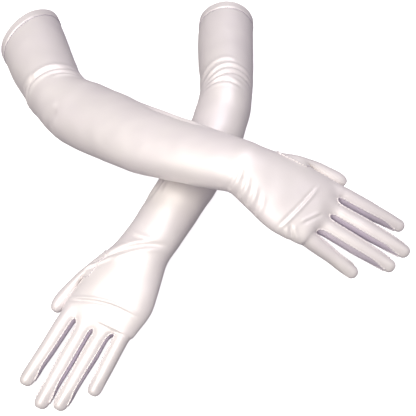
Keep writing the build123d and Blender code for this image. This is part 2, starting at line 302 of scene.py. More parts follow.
LEFT_FOLDS = (
    # the stack of arcs where the elbow closes
    Fold("upper", ((12, 33), (4, 20), (-2, 2), (-2, -14), (4, -31)), 2.6, 1.5, Profile.CREASE),
    Fold("upper", ((8, 35), (-6, 22), (-14, 4), (-11, -16), (-7, -31)), 2.8, 1.4, Profile.OVERLAP),
    Fold("upper", ((15, 32), (11, 20), (10, 4), (16, -14)), 2.4, 1.3, Profile.CREASE),
    Fold("upper", ((-2, 38), (-17, 26), (-23, 8), (-20, -10)), 3.2, 1.0, Profile.OVERLAP),
    # the twisted fold down the forearm
    Fold("forearm", ((72, 24), (98, 16), (116, 2), (124, -22)), 3.6, 1.9, Profile.OVERLAP),
    Fold("forearm", ((108, 20), (134, 12), (160, 14), (184, 18)), 3.0, 1.5, Profile.CREASE),
    Fold("forearm", ((116, 12), (142, 4), (172, 6)), 2.8, 1.0, Profile.OVERLAP),
    # the band of creases from the wrist to the thumb's base
    Fold("forearm", ((220, 25), (225, 8), (222, -12)), 2.6, 0.9, Profile.OVERLAP),
    Fold("hand", ((46, 43), (28, 27), (9, 8), (-7, -15), (-13, -27)), 3.0, 2.0, Profile.CREASE),
    Fold("hand", ((50, 42), (38, 30), (22, 15)), 2.4, 1.4, Profile.OVERLAP),
    Fold("hand", ((34, 38), (28, 32), (20, 26)), 2.2, 1.0, Profile.CREASE),
    # pressed lines over the back of the hand
    Fold("hand", ((84, 40), (75, 20), (67, -5), (65, -38)), 1.8, 1.5, Profile.OVERLAP),
    Fold("hand", ((89, -2), (88, -20), (86, -40)), 1.7, 1.0, Profile.OVERLAP),
)

RIGHT = Wear(
    "right",
    1,
    (Side(-135, 43, 44), Side(-97, 40, 45), Side(-66, 35, 43), Side(-46, 33, 41), Side(-20, 35, 40)),
    (
        Side(0, 40, 40), Side(26, 44, 43), Side(60, 41, 46), Side(100, 35, 47.5), Side(135, 32, 48),
        Side(165, 31.5, 45), Side(205, 29.5, 39), Side(235, 29, 34), Side(252, 28, 31),
    ),
    (Side(0, 28, 31), Side(8, 28.5, 33), Side(22, 33, 37), Side(38, 37, 41), Side(54, 38, 44),
     Side(66, 38.5, 43), Side(80, 39.5, 41.5), Side(95, 39.5, 39.5)),
    (5.8, 0.0, -0.5, -2.6),
    (-4.0, 1.5, 0.0, -9.0),
    -0.36,
    -4.0,
    RIGHT_FOLDS,
)
LEFT = Wear(
    "left",
    -1,
    (Side(-131, 37, 34), Side(-90, 39.5, 33), Side(-40, 38, 31.5), Side(-20, 35, 31)),
    (
        Side(0, 33, 32), Side(30, 28, 38), Side(60, 23.5, 43.5), Side(100, 21.5, 43.5),
        Side(135, 21, 42), Side(165, 22, 38.5), Side(200, 24, 35), Side(230, 28.5, 31),
    ),
    (Side(0, 28.5, 31), Side(8, 29, 33), Side(22, 33, 37), Side(38, 37, 41), Side(54, 38.5, 44),
     Side(66, 39, 43), Side(80, 40, 41.5), Side(95, 39.5, 39.5)),
    (0.2, -3.4, -1.5, -3.7),
    (1.2, 1.6, 1.6, 1.2),
    0.0,
    8.0,
    LEFT_FOLDS,
)


def smooth(share: float) -> float:
    """Eases a share from 0 to 1.

    Args:
        share: Any number; it is held to 0..1.

    Returns:
        The eased share.
    """
    share = min(1.0, max(0.0, share))
    return share * share * (3 - 2 * share)


def half_widths(sides: tuple[Side, ...], at: float) -> tuple[float, float]:
    """Reads an outline between its stations.

    Args:
        sides: The outline's stations in order.
        at: Where to read it, mm.

    Returns:
        The half widths on the thumb's side and on the little finger's side.
    """
    if at <= sides[0].at:
        return sides[0].thumb, sides[0].little
    for low, high in zip(sides, sides[1:]):
        if at <= high.at:
            share = (at - low.at) / (high.at - low.at)
            share = 0.5 * share + 0.5 * smooth(share)
            return (
                low.thumb + (high.thumb - low.thumb) * share,
                low.little + (high.little - low.little) * share,
            )
    return sides[-1].thumb, sides[-1].little


def cage_ring(targets: list[Vector]) -> list[Vector]:
    """Finds the cage whose smoothed ring passes through the wanted points.

    Args:
        targets: The points in order round the ring.

    Returns:
        The cage's points in the same order.
    """
    count = len(targets)
    rule = np.zeros((count, count))
    for i in range(count):
        rule[i, i] = 2 / 3
        rule[i, (i + 1) % count] += 1 / 6
        rule[i, i - 1] += 1 / 6
    solved = np.linalg.solve(rule, np.array([list(p) for p in targets]))
    return [Vector(row) for row in solved]


@dataclass
class Limbs:
    """The frames of one glove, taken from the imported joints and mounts."""

    side: int
    upper: Frame
    forearm: Frame
    hand: Frame
    fingers: list[Frame]
    upper_length: float
    forearm_length: float

    def named(self, name: str) -> Frame:
        """Picks a frame by its name.

        Args:
            name: "upper", "forearm" or "hand".

        Returns:
            The frame.
        """
        return {"upper": self.upper, "forearm": self.forearm, "hand": self.hand}[name]


def read_limbs(frame: dict, wear: Wear) -> Limbs:
    """Takes a glove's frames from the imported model.

    Args:
        wear: The glove.

    Returns:
        Its frames; every x runs towards the fingers.
    """
    joints = {joint["name"]: joint for joint in frame["joints"]}
    mounts = {mount["name"]: mount for mount in frame["record"]["mounts"]}
    mouth = mounts[f"{wear.name}_sleeve_mouth"]
    up = Vector((0, 0, 1))
    elbow, wrist = (Vector(joints[f"{wear.name}_{joint}"]["pos_m"]) for joint in ("elbow", "wrist"))
    along = wrist - elbow
    forearm = frame_from(elbow, along, up.cross(along))
    back = -Vector(mouth["axis"])
    upper = frame_from(elbow, back, up.cross(back))
    across, top = (Vector(joints[f"{wear.name}_{joint}"]["axis"]) for joint in ("wrist", "thumb_swing"))
    top = top * wear.thumb_side
    hand = frame_from(wrist, across.cross(top), across)
    fingers = []
    for shape, yaw, slope in zip(FINGERS, wear.finger_yaw, wear.finger_slope):
        turn, rise = math.radians(yaw) * wear.thumb_side, math.radians(slope)
        direction = (
            hand.x * math.cos(turn) * math.cos(rise)
            + hand.y * math.sin(turn) * math.cos(rise)
            + hand.z * math.sin(rise)
        )
        knuckle = hand.at(shape.knuckle_x, wear.thumb_side * shape.knuckle_y, 0)
        fingers.append(frame_from(knuckle, direction, hand.z.cross(direction)))
    reach = (Vector(mouth["pos_m"]) - elbow).length / MM - wear.hem_setback
    return Limbs(wear.thumb_side, upper, forearm, hand, fingers, reach, along.length / MM)


@dataclass
class Ring:
    """One ring of the sleeve or the hand: its plane, its outline and its name in the cage."""

    centre: Vector
    across: Vector
    up: Vector
    thumb: float
    little: float
    half_height: float
    region: str

    def points(self, inset: float = 0.0) -> list[Vector]:
        """Lays out the ring from the thumb's side over the top.

        Args:
            inset: How far inside the cloth, mm.

        Returns:
            Points in metres, as many as a sleeve ring has.
        """
        middle = (self.thumb - self.little) / 2
        reach = (self.thumb + self.little) / 2 - inset
        rise = self.half_height - inset
        found = []
        for step in range(SLEEVE_RING):
            angle = 2 * math.pi * step / SLEEVE_RING
            across = middle + reach * math.cos(angle)
            up = rise * math.sin(angle)
            found.append(self.centre + (self.across * across + self.up * up) * MM)
        return found


def sleeve_rings(wear: Wear, limbs: Limbs) -> list[Ring]:
    """Lists the rings from the knuckles back to the hem.

    Args:
        wear: The glove.
        limbs: Its frames.

    Returns:
        The rings in that order.
    """
    length, side = limbs.forearm_length, wear.thumb_side
    rings = []
    for at in reversed(HAND_RINGS):
        thumb, little = half_widths(wear.hand, at)
        share = min(1.0, at / PALM_STATION)
        height = WRIST_HALF_HEIGHT + (PALM_HALF_HEIGHT - WRIST_HALF_HEIGHT) * share
        if at > PALM_STATION:
            share = (at - PALM_STATION) / (HAND_RINGS[-1] - PALM_STATION)
            height = PALM_HALF_HEIGHT + (KNUCKLE_HALF_HEIGHT - PALM_HALF_HEIGHT) * share
        region = "wrist" if at < BACK_START else "hand"
        centre, across = limbs.hand.at(at, 0, 0), limbs.hand.y * side
        rings.append(Ring(centre, across, limbs.hand.z, thumb, little, height, region))
    rings.extend(wrist_rings(wear, limbs))
    band = length * BAND_SHARE
    stations = spaced(length - WRIST_REACH, ELBOW_REACH)
    split = min(stations, key=lambda at: abs(at - band))
    for at in stations:
        region = "wrist" if at > split else "upper"
        thumb, little = half_widths(wear.forearm, at)
        height = ELBOW_HALF_HEIGHT + (WRIST_HALF_HEIGHT - ELBOW_HALF_HEIGHT) * at / length
        centre, across = limbs.forearm.at(at, 0, 0), limbs.forearm.y * side
        rings.append(Ring(centre, across, limbs.forearm.z, thumb, little, height, region))
    rings.extend(elbow_rings(wear, limbs))
    reach = limbs.upper_length
    for at in [*spaced(-ELBOW_REACH, -(reach - HEM_WIDTH)), -(reach - HEM_WIDTH / 2), -reach]:
        rings.append(upper_ring(wear, limbs, at))
    return rings


def upper_ring(wear: Wear, limbs: Limbs, at: float) -> Ring:
    """Lays out a ring of the upper sleeve, slanting towards the hem's slant.

    Args:
        wear: The glove.
        limbs: Its frames.
        at: How far from the elbow, mm; it is negative.

    Returns:
        The ring.
    """
    upper = limbs.upper
    thumb, little = half_widths(wear.upper, at)
    slant = wear.hem_slant * smooth((-at - ELBOW_REACH) / (limbs.upper_length - HEM_WIDTH - ELBOW_REACH))
    across = upper.y * wear.thumb_side + upper.x * slant
    return Ring(upper.at(at, 0, 0), across, upper.z, thumb, little, UPPER_HALF_HEIGHT, "upper")


def spaced(start: float, end: float) -> list[float]:
    """Spaces stations evenly.

    Args:
        start: The first station, mm.
        end: The last one, mm.

    Returns:
        Stations from one to the other, about a ring's spacing apart.
    """
    count = max(1, round(abs(end - start) / RING_SPACING))
    return [start + (end - start) * step / count for step in range(count + 1)]


def bend_rings(before: Frame, after: Frame, joint: Vector, reach: float, steps: int) -> list[tuple]:
    """Leads rings round a joint.

    Args:
        before: The frame nearer the fingers.
        after: The frame nearer the hem.
        joint: The joint's place.
        reach: How far the bend runs each way, mm.
        steps: How many rings lie inside it.

    Returns:
        For each ring its centre, its cross axis, its up axis and its share of the way.
    """
    start, end = joint + before.x * reach * MM, joint - after.x * reach * MM
    found = []
    for step in range(1, steps + 1):
        share = step / (steps + 1)
        centre = start.lerp(joint, share).lerp(joint.lerp(end, share), share)
        across = before.y.lerp(after.y, share).normalized()
        up = before.z.lerp(after.z, share).normalized()
        found.append((centre, across, up, share))
    return found


def wrist_rings(wear: Wear, limbs: Limbs) -> list[Ring]:
    """Leads the rings round the wrist.

    Args:
        wear: The glove.
        limbs: Its frames.

    Returns:
        The rings between the hand's first and the forearm's last.
    """
    rings = []
    for at in WRIST_RINGS:
        share = 0.5 - at / (2 * WRIST_REACH)
        across = limbs.hand.y.lerp(limbs.forearm.y, share).normalized()
        up = limbs.hand.z.lerp(limbs.forearm.z, share).normalized()
        centre = limbs.forearm.at(limbs.forearm_length + at, 0, 0)
        thumb, little = half_widths(wear.forearm, limbs.forearm_length + at)
        across = across * wear.thumb_side
        rings.append(Ring(centre, across, up, thumb, little, WRIST_HALF_HEIGHT, "wrist"))
    return rings


def elbow_rings(wear: Wear, limbs: Limbs) -> list[Ring]:
    """Leads the rings round the elbow.

    Args:
        wear: The glove.
        limbs: Its frames.

    Returns:
        The rings between the forearm's and the upper sleeve's.
    """
    rings = []
    bends = bend_rings(limbs.forearm, limbs.upper, limbs.forearm.origin, ELBOW_REACH, ELBOW_RINGS)
    for centre, across, up, share in bends:
        at = ELBOW_REACH * (1 - 2 * share)
        sides = wear.forearm if at >= 0 else wear.upper
        thumb, little = half_widths(sides, at)
        height = ELBOW_HALF_HEIGHT + (UPPER_HALF_HEIGHT - ELBOW_HALF_HEIGHT) * share
        rings.append(Ring(centre, across * wear.thumb_side, up, thumb, little, height, "upper"))
    return rings


def column_ring(column: int, row: int) -> int:
    """Finds where a vertex of the knuckles' cap stands in the sleeve's ring.

    Args:
        column: Its column, from the little finger's side.
        row: Its row, from the palm up.

    Returns:
        Its place in the ring, or -1 inside the cap.
    """
    if row == CAP_ROWS:
        return CAP_COLUMNS + 1 - column
    if row == 0:
        return SLEEVE_RING // 2 + 1 + column
    if column == CAP_COLUMNS:
        return 0
    return SLEEVE_RING // 2 if column == 0 else -1


def finger_ring(side: int, frame: Frame, at: float, radius: float, pinch: float = 1.0) -> dict:
    """Lays out the cage of one ring of a finger.

    Args:
        side: The glove's thumb side.
        frame: The finger's frame.
        at: How far along it, mm.
        radius: Its radius, mm.
        pinch: How far the fourchettes' edges stay apart, as a share.

    Returns:
        Points by (column, row) about the finger's middle, in metres.
    """
    order = [(1, 0), (1, 1), (0, 1), (-1, 1), (-1, 0), (-1, -1), (0, -1), (1, -1)]
    fork = FORK_ANGLE * pinch
    angles = [0, fork, math.pi / 2, math.pi - fork, math.pi, math.pi + fork, 1.5 * math.pi, -fork]
    flat = [Vector((0, radius * math.cos(angle), radius * math.sin(angle))) for angle in angles]
    found = {}
    for key, point in zip(order, cage_ring(flat)):
        found[key] = frame.at(at, side * point.y, point.z)
    found[(0, 0)] = frame.at(at, 0, 0)
    return found


def finger_stations(shape: FingerShape) -> list[tuple[float, float, float]]:
    """Lists a finger's rings beyond the crotch.

    Args:
        shape: The finger.

    Returns:
        (distance, radius, pinch) for each ring; the last is the cap.
    """
    tip = shape.length
    stations = []
    steps = 9
    middle = shape.length / 2
    for at in (22.5, 27.0, ROOT_END):
        share = (at - CROTCH) / (middle - CROTCH)
        radius = shape.root_radius + (shape.middle_radius - shape.root_radius) * share
        narrow = 0.965 if at < 24 else 1.0
        stations.append((at, radius * narrow, 1.0))
    last = tip - shape.tip_radius * 1.25
    for step in range(1, steps + 1):
        at = ROOT_END + (last - ROOT_END) * step / steps
        if at < middle:
            share = (at - CROTCH) / (middle - CROTCH)
            radius = shape.root_radius + (shape.middle_radius - shape.root_radius) * share
        else:
            share = (at - middle) / (last - middle)
            radius = shape.middle_radius + (shape.tip_radius - shape.middle_radius) * share
        pinch = 1.0 - 0.75 * smooth((step - steps + 2.5) / 2.5)
        stations.append((at, radius, pinch))
    for share, narrow in ((0.70, 0.93), (0.34, 0.74), (0.1, 0.42)):
        stations.append((tip - shape.tip_radius * share, shape.tip_radius * narrow, 0.6))
    return stations


class GloveCage:
    """The coarse cage of one glove, grown from the cap at the knuckles."""

    def __init__(self, wear: Wear, limbs: Limbs) -> None:
        """Starts an empty cage.

        Args:
            wear: The glove.
            limbs: Its frames.
        """
        self.wear = wear
        self.limbs = limbs
        self.bm = bmesh.new()
        self.column = self.bm.verts.layers.int.new("column")
        self.row = self.bm.verts.layers.int.new("row")
        self.step = self.bm.verts.layers.int.new("step")
        self.region = self.bm.faces.layers.int.new("region")
        self.regions: list[str] = []

    def tag(self, faces: list, region: str) -> None:
        """Writes a region into faces.

        Args:
            faces: The faces.
            region: The region's name.
        """
        if region not in self.regions:
            self.regions.append(region)
        for face in faces:
            face[self.region] = self.regions.index(region)

    def build(self) -> None:
        """Grows the whole cage."""
        self.cap()
        self.sleeve()
        self.thumb()
        for shape, frame in zip(FINGERS, self.limbs.fingers):
            self.finger(shape, frame)
        bmesh.ops.recalc_face_normals(self.bm, faces=self.bm.faces[:])
        self.face_outward()

    def face_outward(self) -> None:
        """Turns the cage inside out if its faces look inward."""
        face = max(self.bm.faces, key=lambda one: one.calc_center_median().z)
        if face.normal.z < 0:
            bmesh.ops.reverse_faces(self.bm, faces=self.bm.faces[:])

    def cap(self) -> None:
        """Makes the cap that the fingers grow from."""
        made = bmesh.ops.create_grid(self.bm, x_segments=CAP_COLUMNS, y_segments=CAP_ROWS, size=1.0)
        rings = {}
        for shape, frame in zip(FINGERS, self.limbs.fingers):
            points = finger_ring(self.wear.thumb_side, frame, CROTCH - 1.0, shape.root_radius)
            for (across, row), point in points.items():
                rings.setdefault((shape.column + across, row + 1), []).append(point)
        for vert in made["verts"]:
            vert[self.column] = round((vert.co.x + 1) / 2 * CAP_COLUMNS)
            vert[self.row] = round((vert.co.y + 1) / 2 * CAP_ROWS)
            points = rings[(vert[self.column], vert[self.row])]
            vert.co = sum(points, Vector()) / len(points)

    def sleeve(self) -> None:
        """Draws the hand and the sleeve out of the cap's edge, ring by ring."""
        edges = [edge for edge in self.bm.edges if edge.is_boundary]
        for step, ring in enumerate(sleeve_rings(self.wear, self.limbs)):
            before = set(self.bm.faces)
            made = bmesh.ops.extrude_edge_only(self.bm, edges=edges)["geom"]
            verts = [one for one in made if isinstance(one, bmesh.types.BMVert)]
            edges = [one for one in made if isinstance(one, bmesh.types.BMEdge) and one.is_boundary]
            points = cage_ring(ring.points())
            for vert in verts:
                vert[self.step] = step + 1
                vert.co = points[column_ring(vert[self.column], vert[self.row])]
            for face in set(self.bm.faces) - before:
                region = ring.region
                if region == "hand":
                    rows = [vert[self.row] for vert in face.verts]
                    region = "hand_back" if sum(rows) > 4 else "hand_palm"
                self.tag([face], region)

    def finger(self, shape: FingerShape, frame: Frame) -> None:
        """Draws one finger out of its four faces of the cap.

        Args:
            shape: The finger.
            frame: Its frame.
        """
        columns = {shape.column - 1, shape.column, shape.column + 1}
        faces = [
            face
            for face in self.bm.faces
            if len(face.verts) == 4
            and all(vert[self.step] == 0 and vert[self.column] in columns for vert in face.verts)
        ]
        for at, radius, pinch in finger_stations(shape):
            before = set(self.bm.faces)
            made = bmesh.ops.extrude_face_region(self.bm, geom=faces)["geom"]
            spent = [face for face in faces if face.is_valid]
            bmesh.ops.delete(self.bm, geom=spent, context="FACES_KEEP_BOUNDARY")
            faces = [one for one in made if isinstance(one, bmesh.types.BMFace)]
            points = finger_ring(self.wear.thumb_side, frame, at, radius, pinch)
            for one in made:
                if isinstance(one, bmesh.types.BMVert):
                    one[self.step] = -1
                    one.co = points[(one[self.column] - shape.column, one[self.row] - 1)]
            part = "root" if at <= ROOT_END else "tip"
            for face in set(self.bm.faces) - before - set(faces):
                self.tag([face], self.finger_region(shape, part, face, at))
        self.tag(faces, f"{shape.name}_tip")

    def finger_region(self, shape: FingerShape, part: str, face: bmesh.types.BMFace, at: float) -> str:
        """Names the piece of cloth a finger's face belongs to.

        Args:
            shape: The finger.
            part: "root" or "tip".
            face: The face.
            at: How far along the finger, mm.

        Returns:
            The region's name.
        """
        sides = {vert[self.column] - shape.column for vert in face.verts}
        if len(sides) == 1 and at <= shape.length - shape.tip_radius * 1.2:
            across = sides.pop()
            if across in shape.forks:
                return f"{shape.name}_{part}_fourchette_{'thumb' if across > 0 else 'little'}_side"
        return f"{shape.name}_{part}"

    def place(self, vert: bmesh.types.BMVert) -> int:
        """Finds where a vertex stands in the sleeve's ring.

        Args:
            vert: The vertex.

        Returns:
            Its place in the ring, or -1 inside the cap.
        """
        return column_ring(vert[self.column], vert[self.row])

    def thumb(self) -> None:
        """Draws the thumb out of the side of the hand."""
        steps = [len(HAND_RINGS) - HAND_RINGS.index(at) for at in THUMB_RINGS]
        rows = {18: -2, 19: -1, 0: 0, 1: 1, 2: 2}
        faces = [
            face
            for face in self.bm.faces
            if all(vert[self.step] in steps and self.place(vert) in rows for vert in face.verts)
        ]
        over = [(1, 0), (1, 1), (1, 2), (0, 2), (-1, 2), (-1, 1)]
        order = over + [(-across, -up) for across, up in over]
        side, hand = self.wear.thumb_side, self.limbs.hand
        for ring in THUMB:
            before = set(self.bm.faces)
            made = bmesh.ops.extrude_face_region(self.bm, geom=faces)["geom"]
            spent = [face for face in faces if face.is_valid]
            bmesh.ops.delete(self.bm, geom=spent, context="FACES_KEEP_BOUNDARY")
            faces = [one for one in made if isinstance(one, bmesh.types.BMFace)]
            outer, inner = Vector((*ring.outer, 0)), Vector((*ring.inner, 0))
            centre, reach = (outer + inner) / 2, (inner - outer) / 2
            rise = Vector((0, 0, ring.half_height))
            flat = []
            for step in range(len(order)):
                angle = 2 * math.pi * step / len(order)
                flat.append(centre + reach * math.cos(angle) + rise * math.sin(angle))
            points = dict(zip(order, cage_ring(flat)))
            points[(0, 0)] = centre
            points[(0, 1)] = centre + rise * 0.5
            points[(0, -1)] = centre - rise * 0.5
            for one in made:
                if isinstance(one, bmesh.types.BMVert):
                    station = 1 - steps.index(one[self.step])
                    point = points[(-station, rows[self.place(one)])]
                    one.co = hand.at(point.x, side * point.y, point.z + ring.height)
            self.tag(list(set(self.bm.faces) - before - set(faces)), "thumb")
        for face in faces:
            for vert in face.verts:
                vert[self.step] = -2
        self.tag(faces, "thumb")


def smoothed(cage: GloveCage, name: str) -> bpy.types.Mesh:
    """Smooths a cage.

    Args:
        cage: The finished cage.
        name: The mesh's name.

    Returns:
        The fine mesh, with its regions.
    """
    coarse = bpy.data.meshes.new(f"{name}_cage")
    cage.bm.to_mesh(coarse)
    holder = bpy.data.objects.new(f"{name}_cage", coarse)
    bpy.context.scene.collection.objects.link(holder)
    finer = holder.modifiers.new("smooth", "SUBSURF")
    finer.levels = finer.render_levels = SMOOTHING
    fine = bpy.data.meshes.new_from_object(holder.evaluated_get(bpy.context.evaluated_depsgraph_get()))
    bpy.data.objects.remove(holder)
    bpy.data.meshes.remove(coarse)
    return fine


def vectors(collection: bpy.types.bpy_prop_collection, key: str) -> np.ndarray:
    """Reads vectors of a mesh in one go.

    Args:
        collection: The mesh's vertices or their normals.
        key: The property's name.

    Returns:
        An (n, 3) array.
    """
    flat = np.empty(len(collection) * 3)
    collection.foreach_get(key, flat)
    return flat.reshape(-1, 3)


def line_distance(points: np.ndarray, line: np.ndarray) -> tuple[np.ndarray, np.ndarray]:
    """Measures points against a broken line.

    Args:
        points: An (n, 2) array.
        line: The line's corners, an (m, 2) array.

    Returns:
        The signed distances, and how far along the line each nearest point is, 0 to 1.
    """
    best = np.full(len(points), 1e9)
    signed, along = best.copy(), best.copy()
    lengths = np.linalg.norm(np.diff(line, axis=0), axis=1)
    total, passed = lengths.sum(), 0.0
    for start, end, length in zip(line, line[1:], lengths):
        step = (end - start) / length
        offset = points - start
        share = np.clip(offset @ step, 0, length)
        gap = offset - share[:, None] * step
        distance = np.linalg.norm(gap, axis=1)
        turn = step[0] * offset[:, 1] - step[1] * offset[:, 0]
        closer = distance < best
        best[closer] = distance[closer]
        signed[closer] = (np.sign(turn) * distance)[closer]
        along[closer] = ((passed + share) / total)[closer]
        passed += length
    return signed, along


def curve_through(line: tuple[tuple[float, float], ...], side: int) -> np.ndarray:
    """Rounds a fold's line.

    Args:
        line: Its corners, y towards the thumb.
        side: The glove's thumb side.

    Returns:
        The rounded line, an (m, 2) array.
    """
    points = np.array(line, float) * np.array([1, side])
    for _ in range(2):
        cut = [points[0]]
        for start, end in zip(points, points[1:]):
            cut += [start * 0.75 + end * 0.25, start * 0.25 + end * 0.75]
        points = np.array([*cut, points[-1]])
    return points


def fold_height(fold: Fold, local: np.ndarray, side: int) -> np.ndarray:
    """Works out how far one fold lifts the cloth.

    Args:
        fold: The fold.
        local: The cloth's points in the fold's limb, mm.
        side: The glove's thumb side.

    Returns:
        The lift of each point, mm.
    """
    line = curve_through(fold.line, side)
    distance, along = line_distance(local[:, :2], line)
    across = distance / fold.width
    if fold.profile is Profile.RIDGE:
        shape = np.exp(-(across**2))
    elif fold.profile is Profile.CREASE:
        shape = 0.55 * np.exp(-((np.abs(across) - 1.7) ** 2)) - np.exp(-(across**2) * 1.6)
    else:
        shape = 1.5 * across * np.exp(-(across**2) * 0.8)
    ends = np.clip(np.sin(np.pi * np.clip(along, 0.02, 0.98)) * 1.6, 0, 1)
    top = np.clip((local[:, 2] + 6) / 10, 0, 1)
    return fold.height * shape * ends * top


class GloveSkin:
    """The fine cloth of one glove: smoothed, folded, thickened and cut into its pieces."""

    def __init__(self, wear: Wear, limbs: Limbs) -> None:
        """Builds the fine mesh.

        Args:
            wear: The glove.
            limbs: Its frames.
        """
        self.wear = wear
        self.limbs = limbs
        cage = GloveCage(wear, limbs)
        cage.build()
        self.regions = cage.regions
        self.mesh = smoothed(cage, wear.name)
        cage.bm.free()
        self.fold()

    def fold(self) -> None:
        """Lifts and sinks the cloth along its folds, over a soft unevenness."""
        points = vectors(self.mesh.vertices, "co")
        normals = vectors(self.mesh.vertex_normals, "vector")
        lift = np.zeros(len(points))
        for fold in self.wear.folds:
            local = self.limbs.named(fold.limb).local(points)
            lift += fold_height(fold, local, self.wear.thumb_side)
        lift += self.unevenness(points) + self.hem_turn(points)
        points += normals * lift[:, None] * MM
        points[:, 2] = np.maximum(points[:, 2], CLOTH * MM)
        self.mesh.vertices.foreach_set("co", points.ravel())
        self.mesh.update()

    def hem_turn(self, points: np.ndarray) -> np.ndarray:
        """Gives the doubled cloth of the hem and the dip along its stitching.

        Args:
            points: The cloth's points, m.

        Returns:
            The lift of each, mm.
        """
        local = self.limbs.upper.local(points)
        along = local[:, 1] * self.wear.thumb_side * self.wear.hem_slant - local[:, 0]
        past = along - (self.limbs.upper_length - HEM_WIDTH)
        return HEM_LIFT * np.clip(past / 1.5, 0, 1) - HEM_LIFT * np.exp(-((past / 1.2) ** 2))

    def unevenness(self, points: np.ndarray) -> np.ndarray:
        """Gives the cloth's slack.

        Args:
            points: The cloth's points, m.

        Returns:
            A small lift for each, mm.
        """
        found = np.empty(len(points))
        shift = SLACK_SHIFT * (2 + self.wear.thumb_side)
        for i, (x, y, z) in enumerate(points):
            place = Vector((x, y, z))
            broad = noise.noise(place / SLACK_BROAD + shift)
            narrow = noise.noise(place / SLACK_NARROW + shift * 2)
            found[i] = SLACK_LIFTS[0] * broad + SLACK_LIFTS[1] * narrow
        return found

    def thicken(self) -> bpy.types.Object:
        """Gives the cloth its thickness.

        Returns:
            One object with the whole skin, its regions still in a face attribute.
        """
        whole = bpy.data.objects.new(f"{self.wear.name}_skin", self.mesh)
        bpy.context.scene.collection.objects.link(whole)
        thick = whole.modifiers.new("cloth", "SOLIDIFY")
        thick.thickness = CLOTH * MM
        thick.offset = -1.0
        solid = bpy.data.meshes.new_from_object(whole.evaluated_get(bpy.context.evaluated_depsgraph_get()))
        whole.modifiers.clear()
        whole.data = solid
        return whole

    def pieces(self, finish: bpy.types.Material) -> dict[str, bpy.types.Object]:
        """Cuts the skin into its pieces of cloth.

        Args:
            finish: The cloth's material.

        Returns:
            The pieces by their region.
        """
        whole = self.thicken()
        solid = whole.data
        normals = solid.attributes.new("outward", "FLOAT_VECTOR", "POINT")
        flat = vectors(solid.vertex_normals, "vector").ravel()
        normals.data.foreach_set("vector", flat)
        region = np.empty(len(solid.polygons), np.int32)
        solid.attributes["region"].data.foreach_get("value", region)
        for _ in self.regions:
            solid.materials.append(finish)
        solid.polygons.foreach_set("material_index", region)
        solid.polygons.foreach_set("use_smooth", [True] * len(region))
        bpy.ops.object.select_all(action="DESELECT")
        bpy.context.view_layer.objects.active = whole
        whole.select_set(True)
        bpy.ops.object.mode_set(mode="EDIT")
        bpy.ops.mesh.select_all(action="SELECT")
        bpy.ops.mesh.separate(type="MATERIAL")
        bpy.ops.object.mode_set(mode="OBJECT")
        found = {}
        for part in list(bpy.context.selected_objects):
            name = self.regions[part.data.attributes["region"].data[0].value]
            outward = np.empty(len(part.data.vertices) * 3)
            part.data.attributes["outward"].data.foreach_get("vector", outward)
            part.data.normals_split_custom_set_from_vertices(outward.reshape(-1, 3))
            for extra in ("outward", "region", "column", "row", "step"):
                if extra in part.data.attributes:
                    part.data.attributes.remove(part.data.attributes[extra])
            part.data.materials.clear()
            part.data.materials.append(finish)
            part.data.polygons.foreach_set("material_index", [0] * len(part.data.polygons))
            part.name = part.data.name = f"{self.wear.name}_{name}_cloth"
            found[name] = part
        return found


def hex_colour(code: str) -> tuple[float, float, float, float]:
    """Turns an sRGB code into Blender's linear colour.

    Args:
        code: Six hex digits.

    Returns:
        Red, green, blue and 1.
    """
    parts = [int(code[i : i + 2], 16) / 255 for i in (0, 2, 4)]
    linear = [part / 12.92 if part <= 0.04045 else ((part + 0.055) / 1.055) ** 2.4 for part in parts]
    return (*linear, 1.0)


@dataclass(frozen=True)
class SatinFinish:
    """White stretch satin, nylon with elastane: a smooth float face with a broad soft lustre."""

    name: str = "white_stretch_satin"
    light: str = "f6f3ef"
    shade: str = "efe9ec"
    roughness: float = 0.5
    metallic: float = 0.3
    thread_mm: float = 0.35
    bump: float = 0.06


@dataclass(frozen=True)
class PlainFinish:
    """A plain yarn."""

    name: str
    colour: str
    roughness: float
    thread_mm: float


# overcast and hem stitches: spun polyester thread, dull and slightly grey against the satin
THREAD = PlainFinish("polyester_sewing_thread", "978ea6", 0.5, 0.12)
# the tape inside the hem: knitted elastic, nylon over rubber
ELASTIC = PlainFinish("knitted_elastic", "efecec", 0.7, 0.8)


